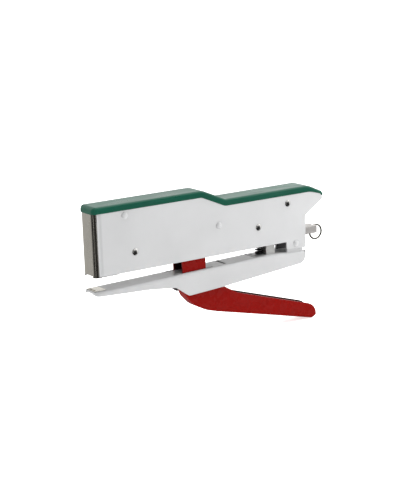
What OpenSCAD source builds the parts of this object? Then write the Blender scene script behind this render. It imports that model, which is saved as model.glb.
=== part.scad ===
// Plier stapler for small staples with 4 mm legs.
// The body is two steel side plates under a plastic cap, with a plated nose at the
// front and a box magazine that loads from the rear. A channel arm with the anvil
// hinges at the rear, and a channel handle is pinned inside that arm.
//
// Working axes: X runs from the nose to the rear, Y across the body, Z up, and zero is
// just behind the nose's face, at the bottom edge of the side plates. Every piece is
// then moved so that the origin is the middle of the underside of the whole stapler's
// bounding box.

/* [Body] */
// Nose face to the vertical rear edge of the side plates
body_length = 150; // [140:1:160]
// Bottom edge of the side plates to the cap, over the nose
front_height = 36.9; // [35:0.1:40]
// Bottom edge of the side plates to the cap, behind the step
rear_height = 29.5; // [29:0.1:31]
// Overall width of the body and of the arm
body_width = 15.6; // [15.4:0.1:17]
// Thickness of each side plate
plate_thick = 1; // [0.8:0.1:1]
// How far the pointed tail stands out behind the rear edge
tail_length = 14; // [12:0.5:15]
// Thickness of the cap
cap_thick = 4.1; // [3.6:0.1:4.4]
// How far the cap stands out past each side plate
cap_overhang = 0.3; // [0.2:0.1:0.5]

/* [Arm] */
// Sheet thickness of the arm
arm_sheet = 1.2; // [1:0.1:1.2]
// Height of the arm's top face below the body, at the nose
throat = 8.9; // [8.5:0.1:9.5]

/* [Handle] */
// Overall width of the handle
handle_width = 11; // [10.6:0.1:11.2]
// Sheet thickness of the handle
handle_sheet = 1.2; // [1:0.1:1.2]

/* [Magazine] */
// Outer width of the magazine tube
tube_width = 7.4; // [7.2:0.1:7.4]
// Outer height of the magazine tube
tube_height = 5; // [4.8:0.1:5]
// Wall of the magazine tube
tube_wall = 0.4; // [0.3:0.1:0.5]
// Height of the magazine tube's underside above the bottom of the side plates
tube_z = 1.3; // [1.2:0.1:1.4]

/* [Fasteners] */
// Diameter of the rivet and pin shanks
pin_diameter = 2.5; // [2.3:0.1:2.5]
// Diameter of the domed heads
head_diameter = 4.2; // [3.8:0.1:4.4]
// Height of the domed heads
head_height = 1.1; // [0.9:0.1:1.2]

/* [Hidden] */

$fn = 40;
arc_steps = 10;      // straight pieces in each rounded corner
fit = 0.04;          // radial clearance of a pin in its bore
gap = 0.3;           // clearance between pieces that slide past each other

half = body_width / 2;
plate_in = half - plate_thick;
arm_in = half - arm_sheet;
handle_half = handle_width / 2;
handle_in = handle_half - handle_sheet;
tube_half = tube_width / 2;
tube_top = tube_z + tube_height;
pin_r = pin_diameter / 2;
head_r = head_diameter / 2;
sleeve_r = pin_r + 0.75;

// Fixed points of the mechanism, as [x, z]
front_rivet = [19, 33.8];
magazine_rivet_1 = [25.2, 11.4];
magazine_rivet_2 = [113.7, 12.7];
stop_rivet = [84.4, 18.2];
lever_pivot = [136.4, 24.5];
arm_hinge = [142.1, -2];
handle_pivot = [68, -14.5];
drive_point = [52, 17];      // cross pin of the handle, at rest
drive_pin_r = 1.4;
drive_point_end = [42.1, 20.3]; // the same pin at full stroke, seen from the lever

// Nose and driver
nose_front = -2;
nose_radius = 2.5;
nose_sheet = 0.8;
nose_drop = 0.6;             // the nose reaches this far below the side plates
plate_front = 0.85;
blade_x = nose_front + nose_sheet + 0.3;
blade_thick = 0.8;
blade_half = 3.1;
blade_bottom = 8;
blade_top = 30;

// Rod, spring and follower inside the magazine
rod_r = 0.6;
rod_z = tube_z + tube_height / 2 + 0.4;
tube_end = 162;
plug_front = 149;
plug_rear = 155;
hook_r = 4.6;
hook_centre = [163.6, 1.2];
hook_back = hook_centre.x + hook_r + rod_r;
follower_x = 0.4;
follower_length = 9;

// Anvil plate, sunk into the arm's front end and held by two rivets
anvil_front = -1.5;
anvil_rear = 6.2;
anvil_half = 5.1;
anvil_sunk = 0.5;
anvil_rivet = [4.9, 3.9];    // x, and y on each side
anvil_rivet_r = 0.7;
anvil_top = -throat + 0.11;   // the arm's top face at the anvil

// Arm and handle outlines reach these limits
arm_front = -2.1;
grip_end = 158.8;
grip_bottom = -54.3;
grip_corner = 2.5;
grip_slope = atan(18 / 74.8);

// The whole stapler's bounding box
box_front = arm_front;
box_rear = hook_back;
box_low = grip_bottom + grip_corner * (tan(grip_slope) + 1 / cos(grip_slope) - 1);
origin_shift = [-(box_front + box_rear) / 2, 0, -box_low];

// The arm's top face rises slightly from the nose to the spring and falls to the rear.
function arm_top(x) = x < 125
    ? -throat + 0.0212 * (x - arm_front)
    : arm_top(124.999) - 0.055 * (x - 125);

// Rounded outlines: each point is [x, z, radius].
function flat(p) = [p.x, p.y];
function unit(v) = v / norm(v);
function turn(a, b) = atan2(cross(a, b), a * b);
function corner(a, b, c, r) =
    r == 0 ? [b] :
    let (
        inward = unit(b - a),
        outward = unit(c - b),
        angle = turn(inward, outward),
        reach = r * tan(abs(angle) / 2),
        start = b - inward * reach,
        side = angle > 0 ? 1 : -1,
        centre = start + side * r * [-inward.y, inward.x],
        from = atan2(start.y - centre.y, start.x - centre.x)
    )
    [for (i = [0:arc_steps])
        centre + r * [cos(from + angle * i / arc_steps), sin(from + angle * i / arc_steps)]];
function rounded(points) =
    let (n = len(points))
    [for (i = [0:n - 1])
        each corner(flat(points[(i + n - 1) % n]), flat(points[i]),
                    flat(points[(i + 1) % n]), points[i][2])];

// A slot outline with round ends at a and b
function round_ended(a, b, r) =
    let (along = turn([1, 0], b - a))
    [for (end = [[a, 90], [b, -90]], i = [0:2 * arc_steps])
        let (angle = along + end[1] + 90 * i / arc_steps)
        end[0] + r * [cos(angle), sin(angle)]];

// ---- helpers ----

// A side-view outline, extruded across the body from y0 to y1
module across(y0, y1) {
    translate([0, y1, 0])
        rotate([90, 0, 0])
            linear_extrude(y1 - y0)
                children();
}

// A round bar across the body at point p = [x, z]
module bar(p, r, y0, y1) {
    translate([p.x, y1, p.y])
        rotate([90, 0, 0])
            cylinder(r = r, h = y1 - y0);
}

// A domed head at y, pointing to side s (-1 or 1); the dome is a cap of a larger sphere
module dome(p, y, s) {
    ball = (head_r * head_r + head_height * head_height) / (2 * head_height);
    translate([p.x, y, p.y])
        rotate([-90 * s, 0, 0])
            intersection() {
                translate([0, 0, head_height - ball])
                    sphere(r = ball);
                cylinder(r = head_r, h = head_height);
            }
}

// A shank through both side plates with a domed head on each
module rivet(p) {
    bar(p, pin_r, -half, half);
    dome(p, -half, -1);
    dome(p, half, 1);
}

module box(x0, x1, y0, y1, z0, z1) {
    translate([x0, y0, z0])
        cube([x1 - x0, y1 - y0, z1 - z0]);
}

// A tube across the body
module sleeve(p, inner, outer, y0, y1) {
    difference() {
        bar(p, outer, y0, y1);
        bar(p, inner, y0 - 1, y1 + 1);
    }
}

// A coil spring drawn as a stack of rings joined by a thin post, along +Z from 0
module ring_stack(radius, wire, height, count) {
    pitch = (height - 2 * wire) / (count - 1);
    for (i = [0:count - 1])
        translate([0, 0, wire + i * pitch])
            rotate_extrude()
                translate([radius, 0])
                    circle(r = wire, $fn = 16);
    translate([radius, 0, wire])
        cylinder(r = wire * 0.8, h = height - 2 * wire, $fn = 16);
}

// ---- body ----

step_run = (front_height - rear_height) / tan(23.8);
step_x = 72.6;
tail_tip = [body_length + tail_length, 24.4];

// Upper edge of the side plates, front to rear, raised by lift
function top_edge(lift) = [
    [step_x + lift * tan(11.9), front_height + lift, 6 + lift],
    [step_x + step_run + lift * tan(11.9), rear_height + lift, max(1, 8 - lift)],
    [body_length + 4 - lift * 0.3, rear_height + lift, 14],
    [tail_tip.x - 2 + lift * 0.4, rear_height - 2.2 + lift * 0.3, 3]
];

module plate_outline() {
    edge = top_edge(0);
    polygon(rounded([
        [plate_front, 0, 0.5],
        [135, 0, 0.8],
        [135, -4.6, 1],
        [body_length - 0.2, -5.6, 1.5],
        [body_length - 0.2, 15.2, 1.5],
        [tail_tip.x, tail_tip.y, 1.2],
        edge[3],
        edge[2],
        edge[1],
        edge[0],
        [plate_front, front_height, 0]
    ]));
}

module side_plate(y0, y1) {
    difference() {
        across(y0, y1) plate_outline();
        for (p = [front_rivet, magazine_rivet_1, magazine_rivet_2, stop_rivet, lever_pivot])
            bar(p, pin_r, y0 - 1, y1 + 1);
        bar(arm_hinge, pin_r, y0 - 1, y1 + 1);
    }
}

module side_plate_left() {
    color("gainsboro") side_plate(-half, -plate_in);
}

module side_plate_right() {
    color("gainsboro") side_plate(plate_in, half);
}

// The cap follows the step and ends in a beak over the tail. A rib below it keeps
// the plates apart.
module cap_outline(front, lift) {
    upper = top_edge(lift);
    lower = top_edge(0);
    beak = (flat(lower[3]) + tail_tip) / 2;
    polygon(rounded([
        [front, front_height, 0.4],
        lower[0],
        lower[1],
        lower[2],
        lower[3],
        [beak.x, beak.y, 0],
        [beak.x + 0.9, beak.y + 0.1, 0.3],
        [beak.x + 1.3, beak.y + 0.8, 0.4],
        upper[3],
        upper[2],
        upper[1],
        upper[0],
        [front, front_height + lift, 2]
    ]));
}

module top_cap() {
    rib_depth = 1;
    rib_front = front_rivet.x + sleeve_r + 2;
    color("seagreen") {
        across(-half - cap_overhang, half + cap_overhang)
            cap_outline(arm_front, cap_thick);
        box(rib_front, step_x - 4, -plate_in, plate_in,
            front_height - rib_depth, front_height);
        box(step_x + step_run + 3, body_length, -plate_in, plate_in,
            rear_height - rib_depth, rear_height);
    }
}

// The nose is a U with round corners, held between the plates. Its front face ends a
// little above the two round corners.
module nose_shell() {
    back = 14;
    notch_half = 4.2;
    notch_top = 0.4;
    inner = plate_in - nose_sheet;
    face_in = nose_front + nose_sheet;
    color("silver")
        difference() {
            translate([0, 0, -nose_drop])
                linear_extrude(front_height + nose_drop)
                    polygon(rounded([
                        [nose_front, -plate_in, nose_radius],
                        [back, -plate_in, 0],
                        [back, plate_in, 0],
                        [nose_front, plate_in, nose_radius]
                    ]));
            translate([0, 0, -nose_drop - 1])
                linear_extrude(front_height + nose_drop + 2)
                    polygon(rounded([
                        [face_in, -inner, nose_radius - nose_sheet],
                        [back + 1, -inner, 0],
                        [back + 1, inner, 0],
                        [face_in, inner, nose_radius - nose_sheet]
                    ]));
            box(nose_front - 1, face_in + 0.5, -notch_half, notch_half, -nose_drop - 1, notch_top);
        }
}

// Guide behind the driver blade, with rails that hold the blade's edges
module nose_guide() {
    back = blade_x + blade_thick + 0.2;
    color("darkgray")
        difference() {
            union() {
                box(back, back + 1.2, -5.6, 5.6, tube_top + gap, front_height - 1.6);
                for (s = [-1, 1])
                    box(nose_front + nose_sheet + 0.1, back, s * 4.05 - 0.55, s * 4.05 + 0.55,
                        0.2, front_height - 1.6);
            }
            box(back - 1, back + 2, -1.9, 1.9, 14, 31);
        }
}

module magazine_tube() {
    seam = 1.1;
    front = blade_x + blade_thick + 0.2;
    color("silver")
        difference() {
            box(front, tube_end, -tube_half, tube_half, tube_z, tube_top);
            box(front - 1, tube_end + 1, -tube_half + tube_wall, tube_half - tube_wall,
                tube_z + tube_wall, tube_top - tube_wall);
            box(front - 1, tube_end + 1, -seam, seam, tube_z - 1, tube_z + 1);
            // notch that lets the rod bend up to its finger ring
            box(tube_end - 1.9, tube_end + 1, -seam, seam, tube_top - 1, tube_top + 1);
        }
}

// A saddle that hangs the magazine tube from the rivet at p
module magazine_bracket(p, length) {
    wall = 0.8;
    difference() {
        union() {
            box(p.x - length / 2, p.x + length / 2, -tube_half - wall, tube_half + wall,
                tube_z + 1, tube_top + wall);
            for (s = [-1, 1])
                across(s * (tube_half + wall / 2) - wall / 2, s * (tube_half + wall / 2) + wall / 2)
                    polygon(rounded([
                        [p.x - length / 2, tube_z + 1, 0],
                        [p.x + length / 2, tube_z + 1, 0],
                        [p.x + length / 2, p.y + 2.4, 2],
                        [p.x - length / 2, p.y + 2.4, 2]
                    ]));
        }
        box(p.x - length, p.x + length, -tube_half, tube_half, tube_z, tube_top);
        bar(p, pin_r, -half, half);
    }
}

module magazine_brackets() {
    color("darkgray") {
        magazine_bracket(magazine_rivet_1, 9);
        magazine_bracket(magazine_rivet_2, 9);
    }
}

module painted_rivets() {
    color("gainsboro") {
        rivet(front_rivet);
        rivet(stop_rivet);
    }
}

module plated_rivets() {
    color("silver") {
        rivet(magazine_rivet_1);
        rivet(magazine_rivet_2);
    }
}

module rivet_sleeves() {
    color("darkgray") {
        sleeve(front_rivet, pin_r, sleeve_r, -plate_in, plate_in);
        sleeve(stop_rivet, pin_r, sleeve_r, -plate_in, plate_in);
    }
}

module lever_pivot_pin() {
    color("silver") rivet(lever_pivot);
}

module hinge_pin() {
    color("gainsboro") rivet(arm_hinge);
}

// ---- arm ----

slot_front = 52.6;
slot_rear = 80.6;
slot_play = 0.25;
spring_x = 119;

module arm_wall_outline() {
    polygon(rounded([
        [arm_front, arm_top(arm_front), 0.6],
        [arm_front + 0.2, -11.3, 1.2],
        [34, -13, 40],
        [52.4, -15.1, 4],
        [61.6, -21.6, 1],
        [88, -20.1, 60],
        [body_length - 0.5, -15, 5.5],
        [body_length - 0.3, arm_top(body_length), 0.5],
        [125, arm_top(125), 20]
    ]));
}

module arm_web_outline() {
    rear = body_length - 1;
    polygon([
        [arm_front, arm_top(arm_front)],
        [125, arm_top(125)],
        [rear, arm_top(rear)],
        [rear, arm_top(rear) - arm_sheet],
        [125, arm_top(125) - arm_sheet],
        [arm_front, arm_top(arm_front) - arm_sheet]
    ]);
}

// Ears that stand up between the side plates and turn on the hinge pin
module hinge_ears() {
    for (s = [-1, 1])
        across(s * 5.9 - 0.6, s * 5.9 + 0.6)
            polygon(rounded([
                [135.6, -8, 0],
                [148.4, -8, 0],
                [arm_hinge.x + 4, arm_hinge.y + 4, 3.8],
                [arm_hinge.x - 4, arm_hinge.y + 4, 3.8]
            ]));
}

module anvil_arm() {
    color("gainsboro")
        difference() {
            union() {
                intersection() {
                    union() {
                        across(-half, -arm_in) arm_wall_outline();
                        across(arm_in, half) arm_wall_outline();
                        across(-half, half) arm_web_outline();
                    }
                    translate([0, 0, -30])
                        linear_extrude(40)
                            polygon(rounded([
                                [arm_front, -half, 3.4],
                                [body_length, -half, 0],
                                [body_length, half, 0],
                                [arm_front, half, 3.4]
                            ]));
                }
                hinge_ears();
            }
            bar(arm_hinge, pin_r + fit, -half - 1, half + 1);
            bar(handle_pivot, pin_r, -half - 1, half + 1);
            // the two long slots that the handle's walls rise through
            for (s = [-1, 1])
                box(slot_front, slot_rear,
                    s * (handle_half - handle_sheet / 2) - handle_sheet / 2 - slot_play,
                    s * (handle_half - handle_sheet / 2) + handle_sheet / 2 + slot_play,
                    -12, 0);
            // cross slots behind the handle and in front of the spring
            box(89.2, 91, -5, 5, -12, 0);
            box(111.4, 112.4, -5, 5, -12, 0);
            box(113.8, 114.8, -5, 5, -12, 0);
            // seat of the anvil plate and its rivets
            box(anvil_front - 0.1, anvil_rear + 0.1, -anvil_half - 0.1, anvil_half + 0.1,
                anvil_top - anvil_sunk, 0);
            anvil_rivet_shanks(anvil_top - 4, 6);
        }
}

module anvil_rivet_shanks(bottom, length) {
    for (s = [-1, 1])
        translate([anvil_rivet.x, s * anvil_rivet.y, bottom])
            cylinder(r = anvil_rivet_r, h = length);
}

// Hardened plate with a groove that turns the staple's legs over
module anvil_plate() {
    proud = 0.15;
    groove = [blade_x, blade_x + 1.2];
    groove_half = 3.6;
    color("silver")
        difference() {
            box(anvil_front, anvil_rear, -anvil_half, anvil_half,
                anvil_top - anvil_sunk, anvil_top + proud);
            box(groove[0], groove[1], -groove_half, groove_half, anvil_top - 0.25, 0);
            anvil_rivet_shanks(anvil_top - 4, 6);
        }
}

module anvil_rivets() {
    web_below = anvil_top - arm_sheet - 0.4;
    color("silver") {
        anvil_rivet_shanks(web_below, anvil_top + 0.15 - web_below);
        for (s = [-1, 1])
            translate([anvil_rivet.x, s * anvil_rivet.y, web_below - 0.5])
                cylinder(r = anvil_rivet_r + 0.4, h = 0.6);
    }
}

module handle_pivot_pin() {
    color("gainsboro") bar(handle_pivot, pin_r, -half, half);
}

module pivot_washers() {
    color("darkgray")
        for (s = [-1, 1])
            sleeve(handle_pivot, pin_r, pin_r + 1.3,
                   s * (arm_in + handle_half) / 2 - (arm_in - handle_half) / 2 + 0.05,
                   s * (arm_in + handle_half) / 2 + (arm_in - handle_half) / 2 - 0.05);
}

// U bracket on the arm that steadies the return spring; its front is open
module spring_bracket() {
    x0 = spring_x + 2.2;
    x1 = x0 + 7;
    outer = 5;
    sheet = 0.8;
    top = 0.2;
    color("silver")
        intersection() {
            translate([0, 0, -throat])
                linear_extrude(throat + top)
                    polygon([
                        [x0, -outer],
                        [x1, -outer],
                        [x1, outer],
                        [x0, outer],
                        [x0, outer - sheet],
                        [x1 - sheet, outer - sheet],
                        [x1 - sheet, sheet - outer],
                        [x0, sheet - outer]
                    ]);
            across(-half, half)
                polygon([
                    [x0, arm_top(x0)],
                    [125, arm_top(125)],
                    [x1, arm_top(x1)],
                    [x1, top + 1],
                    [x0, top + 1]
                ]);
        }
}

module return_spring() {
    wire = 0.4;
    low = arm_top(spring_x) + 0.08;
    color("dimgray")
        translate([spring_x, 0, low])
            ring_stack(2.2, wire, tube_z - low, 6);
}

// ---- handle ----

neck_front = 58.7;
neck_rear = 75.4;
eye_r = 3.6;

module handle_wall_outline() {
    polygon(rounded([
        [61.4, -22.9, 10],
        [67.5, -29.4, 14],
        [76, -34, 20],
        [84, -grip_fall(84), 40],
        [grip_end, grip_bottom, grip_corner],
        [grip_end, -45, 9],
        [98, -26.4, 20],
        [82, -17, 4],
        [neck_rear, -11, 3],
        [neck_rear, 3, 3],
        [64, 16, 4],
        [drive_point.x + eye_r + 0.6, drive_point.y + eye_r + 0.4, 3.4],
        [drive_point.x - eye_r, drive_point.y + eye_r, 3.4],
        [drive_point.x - eye_r - 0.2, drive_point.y - eye_r, 3],
        [neck_front, 2.5, 3],
        [neck_front + 0.4, -10, 10]
    ]));
}

// Height of the grip's lower edge below the body at x
function grip_fall(x) = -grip_bottom - tan(grip_slope) * (grip_end - x);

// The space between the walls, down to the folded bottom of the channel. In front of
// the neck it is open above web_top.
module handle_pocket() {
    t = handle_sheet;
    web_top = -10.5;
    polygon(rounded([
        [neck_front + 0.4 + t, web_top, 0],
        [61.4 + t, -22.5, 9],
        [67.5 + t * 0.6, -29.4 + t * 0.8, 13],
        [76 + t * 0.3, -34 + t, 19],
        [84, -grip_fall(84) + t, 40],
        [grip_end - t, grip_bottom + t * 1.3, 1.2],
        [grip_end - t, grip_bottom + 3.4, 0],
        [grip_end + 5, grip_bottom + 3.4, 0],
        [grip_end + 5, 40, 0],
        [30, 40, 0],
        [30, web_top, 0]
    ]));
}

module handle() {
    color("firebrick")
        difference() {
            across(-handle_half, handle_half) handle_wall_outline();
            across(-handle_in, handle_in) handle_pocket();
            bar(handle_pivot, pin_r + fit, -half, half);
            bar(drive_point, drive_pin_r, -half, half);
        }
}

// Cross pin that rides in the lever's slot
module drive_pin() {
    color("silver") bar(drive_point, drive_pin_r, -handle_half, handle_half);
}

// ---- driver lever and blade ----

lever_half = 2.6;
lever_low = 23.5;
slot_r = drive_pin_r + 0.5;

module driver_lever() {
    color("darkgray")
        difference() {
            union() {
                across(-lever_half, lever_half)
                    polygon(rounded([
                        [4, 23.4, 0.5],
                        [34, 21.6, 6],
                        [39, 14, 3],
                        [54, 12.4, 4],
                        [60, 17, 4],
                        [72, lever_low, 10],
                        [128, lever_low, 4],
                        [lever_pivot.x, lever_pivot.y - 3.6, 3],
                        [lever_pivot.x + 3.7, lever_pivot.y - 3.4, 3],
                        [lever_pivot.x + 3.7, lever_pivot.y + 3.6, 3],
                        [90, 28.2, 6],
                        [72, 30.4, 8],
                        [34, 30.4, 10],
                        [4, 27.8, 0.5]
                    ]));
                box(blade_x + 0.1, 6, -1.4, 1.4, 24.2, 27);
            }
            bar(lever_pivot, pin_r + fit, -half, half);
            // the cam slot, wide enough for the drive pin along its whole path
            across(-half, half)
                polygon(round_ended(drive_point_end, drive_point, slot_r));
        }
}

module lever_spring() {
    wire = 0.35;
    color("dimgray")
        translate([99, 0, tube_top])
            ring_stack(2, wire, lever_low - tube_top, 8);
}

module driver_blade() {
    color("silver")
        difference() {
            box(blade_x, blade_x + blade_thick, -blade_half, blade_half, blade_bottom, blade_top);
            box(blade_x - 1, blade_x + 3, -1.75, 1.75, 23.7, 27.5);
        }
}

// ---- pusher ----

// A piece of the rod's wire bent in the side view about centre = [x, z]
module wire_bend(centre, r, from, angle) {
    translate([centre.x, 0, centre.y])
        rotate([90, 0, 0])
            rotate_extrude(angle = angle, start = from)
                translate([r, 0])
                    circle(r = rod_r, $fn = 20);
}

// Straight rod inside the magazine. Its end rises through the tube's notch and is
// bent into an open finger ring.
module pusher_rod() {
    front = follower_x + 1;
    rise = 13;
    bend_r = 3;
    ring_start = hook_centre + hook_r * [-sin(rise), cos(rise)];
    bend_end_z = rod_z + bend_r * (1 - cos(rise));
    ramp = (ring_start.y - bend_end_z) / sin(rise);
    bend_x = ring_start.x - ramp * cos(rise) - bend_r * sin(rise);
    ramp_start = [bend_x + bend_r * sin(rise), bend_end_z];
    bead_r = rod_r + 0.03; // small beads weld the straight and bent lengths together
    color("silver") {
        translate([front, 0, rod_z])
            rotate([0, 90, 0])
                cylinder(r = rod_r, h = bend_x - front);
        wire_bend([bend_x, rod_z + bend_r], bend_r, -90, rise);
        translate([ramp_start.x, 0, ramp_start.y])
            rotate([0, 90 - rise, 0])
                cylinder(r = rod_r, h = ramp);
        for (p = [[bend_x, rod_z], ramp_start, ring_start])
            translate([p.x, 0, p.y])
                sphere(r = bead_r);
        wire_bend(hook_centre, hook_r, -170, 260 + rise);
    }
}

// Plug on the rod that closes the rear of the magazine
module rod_plug() {
    play = 0.12;
    color("silver")
        difference() {
            box(plug_front, plug_rear, -tube_half + tube_wall + play,
                tube_half - tube_wall - play, tube_z + tube_wall + play,
                tube_top - tube_wall - play);
            translate([plug_front - 1, 0, rod_z])
                rotate([0, 90, 0])
                    cylinder(r = rod_r, h = plug_rear - plug_front + 2);
        }
}

module follower() {
    play = 0.15;
    color("darkgray")
        difference() {
            box(follower_x, follower_x + follower_length, -tube_half + tube_wall + play,
                tube_half - tube_wall - play, tube_z + tube_wall + play,
                tube_top - tube_wall - play);
            translate([follower_x - 1, 0, rod_z])
                rotate([0, 90, 0])
                    cylinder(r = rod_r + 0.08, h = follower_length + 2);
        }
}

module pusher_spring() {
    wire = 0.25;
    x0 = follower_x + follower_length;
    color("dimgray")
        translate([x0, 0, rod_z])
            rotate([0, 90, 0])
                ring_stack(1.25, wire, plug_front - x0, 32);
}

// ---- assembly ----

module place() {
    translate(origin_shift) children();
}

place() side_plate_left();
place() side_plate_right();
place() top_cap();
place() nose_shell();
place() nose_guide();
place() magazine_tube();
place() magazine_brackets();
place() painted_rivets();
place() plated_rivets();
place() rivet_sleeves();
place() lever_pivot_pin();
place() hinge_pin();
place() anvil_arm();
place() anvil_plate();
place() anvil_rivets();
place() handle_pivot_pin();
place() pivot_washers();
place() spring_bracket();
place() return_spring();
place() handle();
place() drive_pin();
place() driver_lever();
place() lever_spring();
place() driver_blade();
place() pusher_rod();
place() rod_plug();
place() follower();
place() pusher_spring();
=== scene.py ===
"""Looks of the plier stapler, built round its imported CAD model.

Lengths are in millimetres on the stapler's working axes, until at() turns them into
metres in the row frame: X runs from the nose to the rear, Y across the body and Z up.
Zero is on the side plates' lower edge, 2 mm behind the nose's front face. Outlines are
side views in X and Z.
"""

from math import asin, atan2, ceil, cos, pi, radians, sin, sqrt, tan

import bmesh
import bpy
from mathutils import Matrix, Vector


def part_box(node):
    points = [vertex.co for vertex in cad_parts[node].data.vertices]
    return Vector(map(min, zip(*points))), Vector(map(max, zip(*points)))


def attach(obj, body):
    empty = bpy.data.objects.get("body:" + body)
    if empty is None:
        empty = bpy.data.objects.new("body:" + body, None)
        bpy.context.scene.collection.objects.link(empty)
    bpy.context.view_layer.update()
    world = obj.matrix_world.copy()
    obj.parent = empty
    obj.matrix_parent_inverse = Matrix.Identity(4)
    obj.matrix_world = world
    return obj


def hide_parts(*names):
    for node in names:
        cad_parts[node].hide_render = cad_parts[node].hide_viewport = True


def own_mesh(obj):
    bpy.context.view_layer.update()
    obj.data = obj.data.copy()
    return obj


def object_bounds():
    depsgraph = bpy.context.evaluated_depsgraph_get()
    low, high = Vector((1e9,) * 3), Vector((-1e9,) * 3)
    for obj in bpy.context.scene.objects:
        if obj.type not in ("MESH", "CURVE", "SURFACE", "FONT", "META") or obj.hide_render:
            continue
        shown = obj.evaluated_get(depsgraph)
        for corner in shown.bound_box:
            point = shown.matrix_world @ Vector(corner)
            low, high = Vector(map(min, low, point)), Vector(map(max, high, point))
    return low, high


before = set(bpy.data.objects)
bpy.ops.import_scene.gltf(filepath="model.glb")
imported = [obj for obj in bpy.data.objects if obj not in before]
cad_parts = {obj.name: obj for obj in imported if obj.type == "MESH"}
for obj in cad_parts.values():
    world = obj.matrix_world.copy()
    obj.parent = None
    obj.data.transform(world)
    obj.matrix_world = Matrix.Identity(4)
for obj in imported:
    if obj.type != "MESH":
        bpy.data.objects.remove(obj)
cad_box = [list(corner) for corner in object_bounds()]

# ---------------------------------------------------------------- sizes from the frame

MM = 0.001
NOSE_FRONT = -2.0
NOSE_DROP = 0.6  # from the side plates' lower edge down to the nose's cheeks
ORIGIN = Vector((
    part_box("nose_shell")[0].x - NOSE_FRONT * MM, 0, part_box("nose_shell")[0].z + NOSE_DROP * MM,
))


def at(x, y, z):
    """A point on the working axes, in mm, as metres in the row frame."""
    return ORIGIN + Vector((x, y, z)) * MM


def span(node):
    """A CAD node's box in mm on the working axes: lowest and highest corner."""
    return [(corner - ORIGIN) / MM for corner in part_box(node)]


plate_low, plate_high = span("side_plate_right")
cap_low, cap_high = span("top_cap")
tube_low, tube_high = span("magazine_tube")
rod_low, rod_high = span("pusher_rod")
bracket_low, bracket_high = span("spring_bracket")
anvil_low, anvil_high = span("anvil_plate")
return_low, return_high = span("return_spring")
lift_low, lift_high = span("lever_spring")
ARM_FRONT = span("anvil_arm")[0].x
HANDLE_HALF = span("handle")[1].y
NOSE_BACK = span("nose_shell")[1].x
PLUG_FRONT = span("rod_plug")[0].x
FOLLOWER_REAR = span("follower")[1].x

# Body: side plates and the cap over them
HALF = plate_high.y
PLATE_IN = plate_low.y
PLATE_FRONT = plate_low.x
FRONT_TOP = plate_high.z
REAR_TOP = 29.5
BODY_LENGTH = 150.0
TAIL_TIP = (BODY_LENGTH + 14, 24.4)
CAP_LIFT = cap_high.z - FRONT_TOP
STEP_X = 72.6
STEP_ANGLE = 23.8
STEP_RUN = (FRONT_TOP - REAR_TOP) / tan(radians(STEP_ANGLE))
NOSE_R = 2.5
NOSE_SHEET = 0.8

# Arm: its top face is lowest at the front, highest at the return spring
THROAT = 8.9
ARM_RISE = 0.0212
ARM_FALL = 0.055
ARM_CREST_X = 125
ARM_SHEET = 1.2
ARM_BEND = 2.3

HANDLE_SHEET = 1.2
HANDLE_BEND = 2.2
ROD_R = 0.6
ROD_Z = 4.2
PIN_R = 1.25
HEAD_R = 2.1
HEAD_HEIGHT = 1.1

# Axes across the body
FRONT_RIVET = (19, 33.8)
MAGAZINE_RIVETS = [(25.2, 11.4), (113.7, 12.7)]
STOP_RIVET = (84.4, 18.2)
LEVER_PIVOT = (136.4, 24.5)
ARM_HINGE = (142.1, -2)
HANDLE_PIVOT = (68, -14.5)
DRIVE_POINT = (52, 17)


def arm_top(x):
    """Height of the arm's top face: it rises to the spring and falls to the rear."""
    crest = -THROAT + ARM_RISE * (ARM_CREST_X - ARM_FRONT)
    slope = ARM_RISE if x < ARM_CREST_X else ARM_FALL
    return crest - slope * abs(x - ARM_CREST_X)


# ---------------------------------------------------------------- outlines


def rounded(points, steps=9):
    """An outline with arcs at its corners.

    Takes (x, z, radius) for each corner, and gives (x, z, corner number) for each point.
    """
    outline = []
    for i, (x, z, radius) in enumerate(points):
        here = Vector((x, z))
        before = Vector(points[i - 1][:2])
        after = Vector(points[(i + 1) % len(points)][:2])
        inward = (here - before).normalized()
        outward = (after - here).normalized()
        turn = atan2(inward.x * outward.y - inward.y * outward.x, inward.dot(outward))
        if radius == 0 or abs(turn) < 1e-4:
            outline.append((x, z, i))
            continue
        side = 1 if turn > 0 else -1
        start = here - inward * radius * tan(abs(turn) / 2)
        centre = start + Vector((-inward.y, inward.x)) * side * radius
        first = atan2(start.y - centre.y, start.x - centre.x)
        for k in range(steps + 1):
            angle = first + turn * k / steps
            outline.append((centre.x + radius * cos(angle), centre.y + radius * sin(angle), i))
    return outline


def chain(points):
    """An open line through points with arcs at its corners, as a height for each x."""
    away = 500
    closing = [(points[-1][0], points[-1][1] + away, 0), (points[0][0], points[0][1] + away, 0)]
    line = [p for p in rounded(list(points) + closing) if p[2] < len(points)]

    def height(x):
        for (x0, z0, _), (x1, z1, _) in zip(line, line[1:]):
            if x <= x1 and x1 > x0:
                return z0 + (z1 - z0) * max(0, x - x0) / (x1 - x0)
        return line[-1][1]

    return height


def stations(start, end, step, close=()):
    """Places from start to end every step, and closer round each (centre, reach, step)."""
    found = {start, end}
    spans = [(start, end, step)] + [(c - reach, c + reach, fine) for c, reach, fine in close]
    for low, high, gap in spans:
        count = max(1, round((high - low) / gap))
        found |= {round(low + (high - low) * k / count, 4) for k in range(count + 1)}
    return sorted(x for x in found if start <= x <= end)


# ---------------------------------------------------------------- mesh helpers


def new_object(name, mesh):
    piece = bpy.data.objects.new(name, mesh)
    bpy.context.scene.collection.objects.link(piece)
    return piece


def from_bmesh(name, bm):
    bmesh.ops.recalc_face_normals(bm, faces=bm.faces)
    mesh = bpy.data.meshes.new(name)
    bm.to_mesh(mesh)
    bm.free()
    return new_object(name, mesh)


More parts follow.
